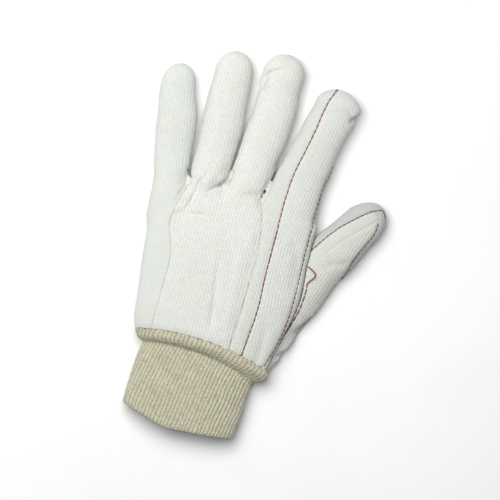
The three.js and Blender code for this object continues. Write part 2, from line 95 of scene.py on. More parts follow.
# Sections of each finger: along its length, the shift of its middle, its width and its height
FINGER_SECTIONS = {
    "little": (
        (0, 0, 0.66, 0.95), (0.14, 0.045, 0.78, 1.14), (0.29, 0.028, 0.88, 1.07),
        (0.4, 0.02, 0.95, 1), (0.53, 0.02, 1, 1), (0.69, 0.01, 1, 0.98), (0.8, -0.045, 0.93, 0.95),
        (0.86, -0.05, 0.88, 0.95), (1, -0.03, 0.86, 0.95),
    ),
    "ring": (
        (0, 0, 0.9, 0.9), (0.15, 0.01, 0.98, 1.14), (0.33, 0, 0.97, 1.07), (0.41, 0, 0.95, 1),
        (0.56, 0.01, 1, 1), (0.71, -0.01, 0.98, 0.98), (0.83, -0.015, 0.94, 0.96),
        (1, -0.02, 0.93, 0.96),
    ),
    "middle": (
        (0, 0, 0.9, 0.88), (0.15, 0, 1, 1.12), (0.34, 0.005, 0.97, 1.05), (0.42, 0.01, 0.94, 1),
        (0.54, 0.045, 0.99, 1), (0.73, 0.05, 1, 0.98), (0.81, -0.01, 0.98, 0.96),
        (0.9, -0.015, 0.99, 0.97), (1, -0.01, 0.97, 0.97),
    ),
    "index": (
        (0, 0, 1.1, 0.9), (0.13, 0, 1.28, 1.12), (0.22, -0.005, 1.23, 1.12),
        (0.3, -0.045, 1.21, 1.08), (0.4, -0.06, 1.12, 1.02), (0.49, -0.025, 1.04, 1),
        (0.63, -0.02, 0.96, 0.98), (0.755, 0, 0.965, 0.95), (0.84, 0.035, 0.985, 0.93),
        (0.91, 0.055, 1.03, 0.97), (1, 0.045, 1, 0.97),
    ),
    "thumb": (
        (0, 0.28, 0.9, 0.55), (0.24, 0.175, 0.98, 0.75), (0.43, 0.045, 1.045, 0.9),
        (0.57, -0.055, 1.03, 0.98), (0.66, -0.08, 0.98, 1), (0.77, -0.09, 0.875, 1),
        (0.88, -0.09, 0.83, 0.97), (1, -0.075, 0.78, 0.95),
    ),
}

# Broad folds on the back of the hand: two ends as shares of half its width and of its length, a depth as a
# share of its height, below zero for a ridge, and half the fold's width as a share of the hand's width
FOLDS = (
    ((-0.15, 1.07), (-0.24, 0.98), 0.06, 0.048),
    ((-0.24, 0.98), (-0.42, 0.89), 0.05, 0.048),
    ((-0.32, 1.08), (-0.42, 0.97), -0.04, 0.058),
    ((-0.5, 0.95), (-0.62, 0.74), 0.048, 0.037),
    ((-0.3, 0.76), (-0.55, 0.72), 0.03, 0.067),
    ((0.36, 0.9), (0.39, 0.7), 0.048, 0.033),
    ((0.39, 0.7), (0.36, 0.06), 0.041, 0.033),
    ((-0.7, 0.6), (-0.66, 0.3), 0.022, 0.058),
)

# Seam lines over the back, as shares of half the hand's width and of its length
SEAMS = {
    "little": ((-0.62, -0.3), (-0.615, 0.17), (-0.6, 0.45), (-0.66, 0.6), (-0.715, 0.71), (-0.66, 0.86),
        (-0.59, 0.98), (-0.635, 1.08), (-0.66, 1.3), (-0.72, 1.52), (-0.86, 2.1)),
    "centre": ((0.33, -0.3), (0.355, 0.06), (0.38, 0.28), (0.405, 0.56), (0.39, 0.74), (0.33, 0.9),
        (0.29, 0.99), (0.38, 1.16), (0.43, 1.29), (0.5, 1.46), (0.56, 1.75), (0.56, 2.1)),
    "index": ((0.5, -0.3), (0.535, 0.1), (0.573, 0.3), (0.56, 0.55), (0.568, 0.82), (0.58, 1.1),
        (0.64, 1.27), (0.73, 1.48), (0.79, 1.66), (0.875, 1.755), (1, 2.1)),
    "edge": ((0.65, -0.2), (0.8, -0.045), (0.89, 0.095), (0.945, 0.25), (0.965, 0.45), (0.96, 0.75),
        (0.963, 1), (0.995, 1.18), (1.03, 1.265), (1.16, 1.4), (1.3, 1.6), (1.4, 2.1)),
}

# The seams on the back of the thumb: a share of its length, and of half its width there
THUMB_SEAMS = {
    "upper": ((0, -0.6), (0.3, -0.64), (0.6, -0.69), (0.74, -0.66), (0.8, -0.58), (0.85, -0.45),
        (0.91, -0.29), (0.955, -0.14)),
    "lower": ((0.955, 0.26), (0.93, 0.47), (0.9, 0.66), (0.85, 0.77), (0.78, 0.81), (0.7, 0.83),
        (0.64, 0.89), (0.56, 1.04), (0.4, 1.2), (0, 1.2)),
}

# The narrow ends of the gaps between the fingers, and slots where the cloth folds on itself: two places in
# millimetres, half the width at each, and the height of the bottom
GAP_ENDS = (
    ((-38.5, 120.3), (-35.6, 115.4), 1.3, 0.4, -5),
    ((-7.6, 140.5), (-8.9, 128.4), 0.9, 0.7, -5),
    ((24, 142.5), (22.7, 134.6), 1.6, 0.5, -5),
    ((22.8, 134.6), (21.5, 127.4), 0.65, 0.5, 4.5),
    ((18.6, 119.4), (17.3, 114.6), 0.5, 0.5, 8),
)

# Creases in the cloth: how deep, how wide to the left and right of the line as it runs, the shares of it over
# which it starts and ends, and its points in millimetres
CREASES = (
    # Where the root of the ring finger bulges over the middle one
    (3.6, 1.5, 1.1, 0.05, 0.62, ((-8.4, 128.5), (-8.6, 125.5), (-8.7, 122.6), (-10.3, 119),
     (-12.6, 116), (-15.8, 113.3), (-19.5, 110.5), (-24, 106))),
    (-1, 2.2, 3, 0.4, 0.5, ((-11.6, 126), (-12.2, 122.4), (-15, 119.2), (-19.5, 116))),
    (2.4, 2.8, 1, 0.45, 0.35, ((-21.5, 126), (-23.1, 123.8), (-27.4, 117.2), (-29.6, 111.7),
     (-30.5, 103.6), (-33.2, 94.4), (-37, 88))),
    (1, 2, 1.6, 0.2, 0.5, ((-36, 118), (-37.5, 110), (-41, 99), (-43.5, 88))),
    # Where the middle finger lies over the index one
    (2.4, 1.6, 1.8, 0.35, 0.5, ((23, 135), (22.7, 130.2), (20.4, 124.4), (17.9, 116), (17.8, 110.5),
     (18.6, 105))),
    (3.5, 0.9, 0.9, 0.35, 0.35, ((-9.4, 120.6), (-12.6, 116.1), (-15.6, 113.6))),
    (1.6, 3, 3.4, 0.7, 0.15, ((-6, 106.5), (5, 111.3), (12, 113.3), (17.6, 114.6))),
    (0.6, 2, 2, 0.4, 0.3, ((-1.7, 101.5), (7, 104), (16.5, 104.8))),
    # The turned fingertips
    (5.4, 1.4, 2, 0.02, 0.35, ((76.5, 190), (72.9, 187), (70.6, 184.2), (68, 182),
     (65.4, 181))),
    (1.3, 2.4, 1.7, 0.1, 0.5, ((68.6, 180.5), (66.6, 185.2), (63.5, 188.6), (58, 191.2))),
    (2.5, 1.3, 3, 0.1, 0.6, ((-3.5, 187), (-1, 198.6), (3.2, 203.8), (10, 207), (18, 208))),
    # Soft folds down and across the back
    (1.5, 2.4, 1.8, 0.4, 0.2, ((-2.2, 72), (-1.5, 60), (2, 35), (4.6, 9))),
    (-0.6, 4, 3, 0.3, 0.3, ((14.5, 84), (13, 66), (14, 40), (17, 12))),
    (1.1, 2.2, 1.5, 0.15, 0.4, ((-42, 88), (-34, 88.3), (-24, 90.5), (-12, 92))),
    (0.8, 4, 3, 0.3, 0.4, ((40.7, 98), (50, 84), (54, 68), (54.8, 44))),
    (0.9, 3, 3, 0.5, 0.1, ((41, 36), (43.5, 16), (42, -8))),
    # The thumb: the crease down its back, and the folds of its base
    (0.55, 0.75, 0.95, 0.1, 0.4, ((105, 119.5), (92, 107.2), (80.7, 96), (66, 77.7))),
    (5.2, 3.4, 2.4, 0.1, 0.5, ((77, 37), (70.5, 29.5), (65, 24.8), (59, 22))),
    (3.2, 8, 8, 0.3, 0.25, ((97, 84), (88.6, 70.3), (83, 54.1), (77.2, 41.5), (68.5, 23),
     (62.9, 15.7), (56, 8))),
    (2.4, 1.6, 1.6, 0.1, 0.5, ((66, 11), (60, 8.5), (55.9, 5.5), (50, 3))),
    (0.9, 2.6, 2.6, 0.2, 0.5, ((92, 86), (85.5, 80.5), (78, 79), (70, 70))),
)

# The cuff, and its rings from the wrist seam down: a step, along its length, shift, width, height, rise and
# slope, how deep the ribs are, and how far they have run towards the thumb by then. The welt rolls over the
# groove behind it, so its rings turn back.
CUFF_LENGTH = 54.5
CUFF_WIDTH = 85.0
CUFF_HEIGHT = 20.0
CUFF_KNIT = 2.2
CUFF_SQUARENESS = 2.6
WRIST_SEAM = -0.024
CUFF_COLUMNS = ("along", "shift", "width", "height", "rise", "slope", "ribs", "run")
CUFF_RINGS = (
    (0, -0.014, 0.017, 1.14, 1.1, 0.082, -0.08, 0.1, 0),
    (0.5, 0.004, 0.022, 1.175, 1.2, 0.082, -0.08, 0.35, -0.2),
    (1, 0.035, 0.028, 1.185, 1.26, 0.082, -0.083, 0.6, -0.7),
    (2, 0.088, 0.035, 1.17, 1.27, 0.079, -0.093, 0.7, -2),
    (2.7, 0.135, 0.034, 1.12, 1.17, 0.076, -0.1, 0.65, -2.4),
    (3.1, 0.155, 0.026, 1.05, 1.06, 0.073, -0.106, 0.6, -1.6),
    (3.5, 0.165, 0.018, 1.005, 0.98, 0.071, -0.112, 0.5, -0.4),
    (4, 0.185, 0.014, 0.985, 0.94, 0.069, -0.115, 0.75, 0),
    (5, 0.3, 0, 0.99, 0.97, 0.047, -0.1, 1, -0.9),
    (7, 0.6, -0.014, 1, 1, -0.009, -0.08, 1, -3.3),
    (9, 0.94, -0.028, 0.985, 1.05, -0.061, -0.065, 1, -5.6),
    (9.6, 0.985, -0.03, 0.975, 1.03, -0.065, -0.065, 0.8, -5.8),
    (10, 1, -0.031, 0.95, 0.96, -0.066, -0.065, 0.4, -5.9),
)
HEM_WAVES = ((-8, 12, -1.5), (-37, 9, 1))  # across, width and height in millimetres
CUFF_RIBS = 70
RIB_DEPTH = 0.55
RIB_SAMPLES = 8
SEAM_STEP = 0.5  # of the ring that lies in the wrist seam

CORD_PITCH = 2.2  # of the cords that run along the cloth
LOOP_PITCH = 1.5  # of the loops in each cord
KNIT_PITCH = 1.3  # of the rows of the cuff's knitting
PLAIN = 0.12  # how much the cords show where the cloth is brushed smooth
THUMB_CORD_LEAN = 20.0  # degrees from the hand's own axis
CLOTH_LUMPS = ((0.35, 19, 3.1), (0.14, 6.5, 8.7))  # height and size of each kind, and where its noise is read


# Curves and tables

def values_at(table, along):
    """A table's other columns at places along its first one, each on a smooth curve through its rows."""
    place, *columns = np.array(table).T
    value = np.array(columns)
    along = np.clip(along, place[0], place[-1])
    here = np.clip(np.searchsorted(place, along, side="right") - 1, 0, len(place) - 2)
    before, after = np.maximum(here - 1, 0), np.minimum(here + 2, len(place) - 1)
    low, high = value[:, here], value[:, here + 1]
    span = place[here + 1] - place[here]
    start_slope = (high - value[:, before]) / (place[here + 1] - place[before]) * span
    end_slope = (value[:, after] - low) / (place[after] - place[here]) * span
    t = (along - place[here]) / span
    return (
        (2 * t**3 - 3 * t**2 + 1) * low + (t**3 - 2 * t**2 + t) * start_slope
        + (3 * t**2 - 2 * t**3) * high + (t**3 - t**2) * end_slope
    )


def smooth_line(points, steps=12):
    """Points on a smooth curve through the given ones, with that many steps between each two."""
    table = np.column_stack([np.arange(len(points)), points])
    return values_at(table, np.arange((len(points) - 1) * steps + 1) / steps).T


def walked_along(line):
    """The length of a line up to each of its points."""
    return np.concatenate([[0], np.cumsum(np.linalg.norm(np.diff(line, axis=0), axis=1))])


def hand_plan(shares):
    """Places in plan from shares of half the hand's width and of its length."""
    return np.array(shares) * (HAND_WIDTH / 2, HAND_LENGTH)


def ease(value, low, high):
    t = np.clip((value - low) / (high - low), 0, 1)
    return t * t * (3 - 2 * t)


def unit(vectors):
    """Each vector with a length of 1."""
    return vectors / np.maximum(np.linalg.norm(vectors, axis=1), 1e-9)[:, None]


def line_distance(line, x, y):
    """Signed distance to a line in plan, above zero on its right as it runs, and the share of it passed."""
    x, y = np.broadcast_arrays(x, y)
    best = np.full(x.shape, np.inf)
    side, passed = np.zeros(x.shape), np.zeros(x.shape)
    walked = walked_along(line)
    for (ax, ay), (bx, by), start, end in zip(line, line[1:], walked, walked[1:]):
        length = end - start
        ux, uy = (bx - ax) / length, (by - ay) / length
        t = np.clip((x - ax) * ux + (y - ay) * uy, 0, length)
        dx, dy = x - ax - t * ux, y - ay - t * uy
        distance = np.hypot(dx, dy)
        near = distance < best
        best = np.where(near, distance, best)
        side = np.where(near, dx * uy - dy * ux, side)
        passed = np.where(near, start + t, passed)
    return np.where(side >= 0, best, -best), passed / walked[-1]


# Forms

def seam_height(y):
    """The height of the side seam and of the widest line."""
    down = ease(y / HAND_LENGTH, SIDE_SEAM["from"], SIDE_SEAM["to"])
    high = SIDE_SEAM["hand"] * HAND_HEIGHT
    low = SIDE_SEAM["fingers"] * FINGERS["middle"]["height"]
    return high + (low - high) * down


THUMB_SEAM_HEIGHT = SIDE_SEAM["thumb"] * FINGERS["thumb"]["height"]


def fold_depth(x, y):
    total = 0
    for start, end, depth, spread in FOLDS:
        distance, _ = line_distance(hand_plan((start, end)), x, y)
        total = total + depth * HAND_HEIGHT * np.exp(-((distance / (spread * HAND_WIDTH)) ** 2))
    return total


def oval_field(across, z, edge, top, depth, squareness, past):
    """Below zero in a boxy oval, its top pushed down by a depth. past grows from 0 to 1 where it closes."""
    z = z + depth * np.clip((z - edge) / (top - edge), 0, 1)
    share = np.where(z > edge, (z - edge) / (top - edge), (z - edge) / (-REST_DEPTH - edge))
    radius = (np.abs(across) ** squareness + np.abs(share) ** squareness) ** (2 / squareness)
    return (np.sqrt(radius + past**2) - 1) * (top - edge)


def hand_span(y):
    """The hand's middle, half width and top at places along it."""
    little_side, thumb_side, height = values_at(HAND_SECTIONS, y / HAND_LENGTH)
    quarter = HAND_WIDTH / 4
    return (little_side + thumb_side) * quarter, (thumb_side - little_side) * quarter, height * HAND_HEIGHT


def hand_field(x, y, z, depth):
    middle, half, top = hand_span(y)
    edge = np.minimum(seam_height(y), 0.6 * top)
    closing = 6.0
    first, last = HAND_SECTIONS[0][0] * HAND_LENGTH, HAND_SECTIONS[-1][0] * HAND_LENGTH
    past = np.maximum(0, np.maximum(first - y, y - last)) / closing
    return oval_field((x - middle) / half, z, edge, top, depth, HAND_SQUARENESS, past)


def finger_frame(name):
    """The place of a finger's root in plan, and the sine and cosine of its splay."""
    finger = FINGERS[name]
    angle = math.radians(finger["splay"])
    return *hand_plan((finger["x"], finger["y"])), math.sin(angle), math.cos(angle)


def finger_run(name, x, y):
    """Where a point of the plan is on a finger: from its root, across from its middle, half the width, the
    top and the height of the widest line."""
    finger = FINGERS[name]
    root_x, root_y, sine, cosine = finger_frame(name)
    distance = (x - root_x) * sine + (y - root_y) * cosine
    shift, width, height = values_at(FINGER_SECTIONS[name], distance / finger["length"])
    shift = finger["width"] * shift
    across = (x - root_x) * cosine - (y - root_y) * sine - shift
    if name == "thumb":
        edge = THUMB_SEAM_HEIGHT
    else:
        edge = seam_height(root_y + distance * cosine - shift * sine)
    return distance, across, finger["width"] * width / 2, finger["height"] * height, edge


def finger_field(name, x, y, z, depth):
    finger = FINGERS[name]
    distance, across, half, top, edge = finger_run(name, x, y)
    closing = 8.0
    past = np.maximum((distance - finger["length"]) / finger["tip"] + 1, -distance / closing)
    return oval_field(across / half, z, edge, top, depth, FINGER_SQUARENESS, np.maximum(0, past))


def joined(a, b, softness):
    """The union of two fields, with a soft run between them."""
    near = np.maximum(softness - np.abs(a - b), 0) / softness
    return np.minimum(a, b) - near**2 * softness / 4


def body_field(x, y, z):
    depth = fold_depth(x, y)
    together, *others = [finger_field(name, x, y, z, depth) for name in HAND_FINGERS]
    for field in others:
        together = joined(together, field, FINGER_BLEND)
    whole = joined(together, hand_field(x, y, z, depth), HAND_BLEND)
    return np.maximum(-joined(-whole, gap_field(x, y, z), 1.0), -z)


def gap_field(x, y, z):
    """Below zero in the narrow ends of the gaps between the fingers, and in the slots."""
    fields = []
    for start, end, wide, narrow, bottom in GAP_ENDS:
        distance, passed = line_distance(np.array([start, end]), x, y)
        fields.append(np.maximum(np.abs(distance) - wide - (narrow - wide) * passed, bottom - z))
    return np.minimum.reduce(fields)


def thumb_field(x, y, z):
    return np.maximum(finger_field("thumb", x, y, z, fold_depth(x, y)), -z)


# Meshes from fields

def gradient(field, p, step=0.05):
    """Slope of a field at points."""
    slopes = [field(*(p + move).T) - field(*(p - move).T) for move in np.eye(3) * step]
    return np.stack(slopes, 1) / (2 * step)


def surface(field, low, high):
    """Triangles over a field's zero level in a box: a point in each crossed cell, settled on the level."""
    axes = [np.arange(a, b + GRID, GRID) for a, b in zip(low, high)]
    values = field(*np.meshgrid(*axes, indexing="ij", sparse=True)).astype(np.float32)
    inside = values < 0
    cells = np.array(values.shape) - 1
    total = np.zeros((cells.prod(), 4))
    quads = []
    for axis in range(3):
        ahead, other, third = np.roll(np.eye(3, dtype=int), -axis, axis=0)
        crossed = np.argwhere(np.diff(inside, axis=axis))
        enclosed = (crossed > 0) & (crossed < cells) | (ahead > 0)
        crossed = crossed[enclosed.all(axis=1)]
        here, there = values[tuple(crossed.T)], values[tuple((crossed + ahead).T)]
        place = crossed + ahead * (here / (here - there))[:, None]
        place = np.column_stack([place, np.ones(len(place))])
        ring = []
        for back, side in ((0, 0), (1, 0), (1, 1), (0, 1)):
            index = np.ravel_multi_index((crossed - back * other - side * third).T, cells)
            np.add.at(total, index, place)
            ring.append(index)
        ring = np.stack(ring, axis=1)
        ring[here >= 0] = ring[here >= 0][:, ::-1]
        quads.append(ring)
    used, quads = np.unique(np.vstack(quads), return_inverse=True)
    quads = quads.reshape(-1, 4)
    points = np.array(low) + total[used, :3] / total[used, 3:] * GRID
    for _ in range(3):
        points = relaxed(points, quads)
        slope = gradient(field, points)
        points -= slope * (field(*points.T) / np.maximum((slope**2).sum(1), 0.05))[:, None]
    return points, triangles(quads)


def corner_sums(faces, values, count):
    """Sums of what the faces hold, at each of that many points that are their corners."""
    total = np.zeros((count, values.shape[1]))
    for corners in faces.T:
        np.add.at(total, corners, values)
    return total


def relaxed(points, faces, share=0.5):
    """Each point drawn towards the middle of the faces that it belongs to."""
    middles = points[faces].mean(axis=1)
    total = corner_sums(faces, np.column_stack([middles, np.ones(len(faces))]), len(points))
    return points + share * (total[:, :-1] / total[:, -1:] - points)


def point_normals(points, faces):
    a, b, c = (points[corners, :3] for corners in faces.T)
    return unit(corner_sums(faces, np.cross(b - a, c - a), len(points)))


def triangles(quads):
    return np.vstack([quads[:, [0, 1, 2]], quads[:, [0, 2, 3]]])


def split_at(points, faces, level):
    """Cuts triangles where a level is zero. Points are rows of a place and anything else they carry."""
    level = np.where(np.abs(level) < 1e-4, 0, level)
    sign = np.sign(level)[faces]
    crossed = (sign > 0).any(1) & (sign < 0).any(1)
    kept, cut, sign = faces[~crossed], faces[crossed], sign[crossed]
    total = sign.sum(axis=1, keepdims=True)
    lone = np.where(total == 0, sign == 0, sign == -np.sign(total)).argmax(axis=1)
    ring = np.take_along_axis(cut, (lone[:, None] + np.arange(3)) % 3, axis=1)
    ends = np.sort(np.stack([ring, np.roll(ring, -1, axis=1)], 2), axis=2)
    split = np.sign(level)[ends].prod(axis=2) < 0
    edges, numbers = np.unique(ends[split], axis=0, return_inverse=True)
    made = np.zeros_like(ring)
    made[split] = numbers.ravel() + len(points)
    low, high = edges.T
    t = (level[low] / (level[low] - level[high]))[:, None]
    points = np.vstack([points, points[low] * (1 - t) + points[high] * t])
    (a, b, c), (ab, bc, ca) = ring.T, made.T
    two, one = split[:, 0], ~split[:, 0]
    parts = [(two, (a, ab, ca)), (two, (ab, b, c)), (two, (ab, c, ca)), (one, (a, b, bc)), (one, (a, bc, c))]
    return points, np.vstack([kept, *(np.stack(corners, 1)[chosen] for chosen, corners in parts)])


def cut_along(points, faces, rule):
    """Splits a mesh where a rule(x, y, z) is zero. Points close to the line are drawn onto it first."""
    level = rule(*points[:, :3].T)
    near = np.abs(level) < 0.22 * GRID
    place = points[near, :3]
    slope = gradient(rule, place)
    points = points.copy()
    points[near, :3] = place - slope * (level[near] / np.maximum((slope**2).sum(1), 0.2))[:, None]
    level[near] = 0
    return split_at(points, faces, level)


def side_of(points, faces, rule):
    return rule(*points[faces, :3].mean(axis=1).T) > 0


def only(points, faces):
    """The mesh without its unused points."""
    used, faces = np.unique(faces, return_inverse=True)
    return points[used], faces.reshape(-1, 3)


def trimmed(rows, faces, rule):
    """The part of a mesh where a rule is above zero."""
    rows, faces = cut_along(rows, faces, rule)
    return only(rows, faces[side_of(rows, faces, rule)])


def rim_of(faces):
    """The edges that only one triangle has, as it runs round them."""
    edges = faces[:, [0, 1, 1, 2, 2, 0]].reshape(-1, 2)
    _, where, count = np.unique(np.sort(edges), axis=0, return_index=True, return_counts=True)
    return edges[where[count == 1]]


def thickened(points, faces, wall):
    """A closed wall of cloth inside a sheet. The inner side carries what the outer side does."""
    inner = points.copy()
    inner[:, :3] -= point_normals(points, faces) * wall
    inner[:, 2] = np.maximum(inner[:, 2], np.minimum(points[:, 2], wall))
    count = len(points)
    a, b = rim_of(faces).T
    sides = triangles(np.stack([b, a, a + count, b + count], 1))
    return np.vstack([points, inner]), np.vstack([faces, faces[:, ::-1] + count, sides])


# Cloth details

def noise_at(places):
    """Smooth noise from -1 to 1, with lumps about 1 wide."""
    return np.array([noise.noise(Vector(p)) for p in places])


def crease_depth(x, y):
    total = np.zeros(x.shape)
    for depth, left, right, start, end, points in CREASES:
        distance, passed = line_distance(smooth_line(points, 6), x, y)
        fade = ease(passed, 0, start) * ease(1 - passed, 0, end)
        total += depth * fade * np.exp(-((distance / np.where(distance > 0, right, left)) ** 2))
    return total


SEAM_LINES = {name: smooth_line(hand_plan(line)) for name, line in SEAMS.items()}


def past_seam(name, x, y):
    """Signed distance to a seam of the back, above zero towards the thumb."""
    return line_distance(SEAM_LINES[name], x, y)[0]


def seam_rule(name):
    return lambda x, y, z: past_seam(name, x, y)


def thumb_line(seam):
    """A seam of the thumb in plan."""
    thumb = FINGERS["thumb"]
    root_x, root_y, sine, cosine = finger_frame("thumb")
    along, across = np.array(THUMB_SEAMS[seam]).T
    shift, width, _ = values_at(FINGER_SECTIONS["thumb"], along)
    ahead, side = thumb["length"] * along, thumb["width"] * (shift + across * width / 2)
    x, y = root_x + ahead * sine + side * cosine, root_y + ahead * cosine - side * sine
    return smooth_line(np.stack([x, y], 1), 6)


THUMB_TONGUE = np.vstack([thumb_line("upper"), thumb_line("lower")])
THUMB_CREASE = smooth_line(((112.0, 126.0), (92.0, 107.2), (80.7, 96.0), (60.0, 71.0)), 6)


def thumb_rule(x, y, z):
    """Above zero on the back of the thumb."""
    distance, _ = line_distance(THUMB_TONGUE, x, y)
    return np.minimum(distance, z - THUMB_SEAM_HEIGHT)


def back_rule(x, y, z):
    """Above zero on the back of the hand."""
    return np.minimum(z - seam_height(y), -past_seam("edge", x, y))


def clear_of_hand(x, y, z):
    """Above zero outside the hand, with a small clearance."""
    return body_field(x, y, z) - 0.1


def cuff_ring(step):
    return dict(zip(CUFF_COLUMNS, values_at(CUFF_RINGS, step)))


def ring_y(ring, across):
    to_side = np.minimum(1, np.abs(across) / (ring["width"] * CUFF_WIDTH / 2))
    y = WRIST_SEAM * HAND_LENGTH - ring["along"] * CUFF_LENGTH + ring["slope"] * across
    near_hem = ease(ring["along"], 0.4, 1.0)
    for place, width, height in HEM_WAVES:
        y = y + height * near_hem * np.exp(-(((across - place) / width) ** 2))
    return y + ring["rise"] * CUFF_WIDTH * (1 - to_side**2)


def wrist_y(x):
    ring = cuff_ring(SEAM_STEP)
    return ring_y(ring, x - ring["shift"] * CUFF_WIDTH)


def wrist_rule(x, y, z):
    """Above zero on the fingers' side of the wrist seam."""
    return y - wrist_y(x) - SEAM_GAP


def round_side(across, half, z, edge, top, flatness):
    """How much further it is from the middle of the back round an oval of that flatness than in plan."""
    turn = np.linspace(0, math.pi / 2, 91)
    bent = 2 / FINGER_SQUARENESS
    arc = walked_along(np.stack([np.sin(turn) ** bent, flatness * np.cos(turn) ** bent], 1))
    angle = np.arctan2(np.abs(across) / half, np.abs(z - edge) / (top - edge))
    return np.sign(across) * half * np.interp(angle, turn, arc) - across


def body_weave(p):
    """Each point's place across and along the cords of the cloth, and how much they show there."""
    x, y, z = p.T
    depth = fold_depth(x, y)
    up_finger = ease(y / HAND_LENGTH, 0.95, 1.2)
    closeness, across, along = [], [], []
    for name in HAND_FINGERS:
        distance, offset, half, top, edge = finger_run(name, x, y)
        root_x, root_y, sine, cosine = finger_frame(name)
        closeness.append(-finger_field(name, x, y, z, depth) / 1.5)
        more = round_side(offset, half, z, edge, top, 0.7) * up_finger
        across.append(root_x + (x - root_x) * cosine - (y - root_y) * sine + more)
        along.append(root_y + distance)
    weight = np.exp(np.array(closeness) - np.max(closeness, axis=0))
    weight /= weight.sum(axis=0)
    middle, half, _ = hand_span(y)
    past = np.abs(x - middle) / half
    down = np.maximum(0, HAND_HEIGHT - 4 - z) * ease(past, 0.8, 1.0)
    on_hand = x + np.sign(x) * down
    share = ease(y / HAND_LENGTH, 0.72, 1.0)
    across = on_hand + ((weight * across).sum(axis=0) - on_hand) * share
    along = y + ((weight * along).sum(axis=0) - y) * share
    return np.stack([across, along, cord_strength(x, y, weight[3])], 1)


def cord_strength(x, y, on_index):
    """The strip beside the little finger and the outer side of the index finger are brushed smooth."""
    before_little, before_index = -past_seam("little", x, y), -past_seam("index", x, y)
    hand_strip = ease(before_little, -1, 1) * ease(y, 128, 98)
    outer_little = ease(before_little, 24, 33) * ease(y, 105, 130) * 0.6
    outer_index = ease(before_index, -1, 1) * on_index * ease(y, 95, 120)
    return 1 - (1 - PLAIN) * np.maximum(np.maximum(hand_strip, outer_little), outer_index)


def thumb_weave(p):
    x, y, z = p.T
    _, across, half, top, edge = finger_run("thumb", x, y)
    angle = math.radians(THUMB_CORD_LEAN)
    plan = x * math.cos(angle) - y * math.sin(angle) + round_side(across, half, z, edge, top, 0.6)
    along = x * math.sin(angle) + y * math.cos(angle)
    past_crease, _ = line_distance(THUMB_CREASE, x, y)
    return np.stack([plan, along, 1 - (1 - PLAIN) * ease(past_crease, -1, 1)], 1)


# Pieces

def piece(name, points, faces, material, weave, replaces=()):
    """A piece of the frame from points in millimetres. weave is what they carry for the material."""
    mesh = bpy.data.meshes.new(name)
    place = (np.maximum(points, (-math.inf, -math.inf, 0)) - ORIGIN) * MM
    mesh.from_pydata(place.tolist(), [], faces.tolist(), shade_flat=False)
    mesh.validate()
    carried = mesh.attributes.new("weave", "FLOAT_VECTOR", "POINT")
    carried.data.foreach_set("vector", weave.astype(np.float32).ravel())
    mesh.materials.append(material)
    made = new_object(name, mesh)
    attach(made, "root")
    if replaces:
        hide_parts(*replaces)


def new_object(name, data):
    made = bpy.data.objects.new(name, data)
    bpy.context.scene.collection.objects.link(made)
    return made


SKINS = []  # the outside of the hand, the thumb and the cuff, to lay threads on


def detail(points, faces, grooves, away):
    """Presses creases, and grooves and lumps where away is 1, into the cloth."""
    normals = point_normals(points, faces)
    x, y, z = points.T
    inward = sum(height * noise_at(points / size + seed) for height, size, seed in CLOTH_LUMPS)
    inward *= ease(z, 0.3, 4)
    for distance, depth, width in grooves:
        inward += depth * np.exp(-((distance / width) ** 2))
    creased = crease_depth(x, y) * ease(z, 1.5, 7) * ease(gap_field(x, y, z), -0.4, 2.0)
    press = unit(normals + (0, 0, 0.8))
    moved = points - normals * (away * inward)[:, None] - press * creased[:, None]
    for _ in range(2):
        moved += (relaxed(moved, faces) - moved) * ease(np.abs(creased), 0.2, 1.0)[:, None]
    moved[:, 2] = np.maximum(moved[:, 2], 0)
    SKINS.append((moved, faces))
    return moved


def make_hand(looks):
    points, faces = surface(body_field, (-80, -16, -2), (86, 228, 32))
    x, y, z = points.T
    weave = body_weave(points)
    on_back = ease(z - seam_height(y), -1, 1)
    to_wrist = 0.45 + 0.55 * ease(y, 100, 50)
    grooves = [
        (past_seam("little", x, y), 0.2 * on_back, 1.1),
        (past_seam("centre", x, y) - 0.7, 0.95 * on_back * to_wrist, 1.3),
        (past_seam("index", x, y), 0.5 * on_back, 1.1),
        (past_seam("edge", x, y), 0.55 * on_back, 1.0),
        (z - seam_height(y), 0.5, 1.3),
        (y - wrist_y(x), 0.7, 2.2),
    ]
    points = detail(points, faces, grooves, ease(np.abs(thumb_field(x, y, z)), 0.5, 5))
    rows, faces = trimmed(np.column_stack([points, weave]), faces, wrist_rule)
    inner_seams = ("little", "centre", "index")
    for rule in (back_rule, *map(seam_rule, inner_seams)):
        rows, faces = cut_along(rows, faces, rule)
    back = side_of(rows, faces, back_rule)
    little, centre, index = (side_of(rows, faces, seam_rule(name)) for name in inner_seams)
    make_panel("palm_panel", rows, faces[~back], looks)
    make_panel("back_panel_little", rows, faces[back & ~little], looks)
    make_panel("back_panel_centre", rows, faces[back & little & ~centre], looks)
    make_panel("back_panel_index", rows, faces[back & centre & ~index], looks)
    make_panel("index_wrap_panel", rows, faces[back & index], looks)


def make_panel(name, rows, faces, looks):
    """A panel of cloth, drawn in along its rim by half the seam's gap."""
    rows, faces = only(rows, faces)
    rim = np.unique(rim_of(faces))
    inward = relaxed(rows[:, :3], faces, 1.0) - rows[:, :3]
    rows[rim, :3] += unit(inward[rim]) * SEAM_GAP / 2
    rows, faces = thickened(rows, faces, CLOTH)
    piece(name + "_cloth", rows[:, :3], faces, looks[name], rows[:, 3:], (name,))


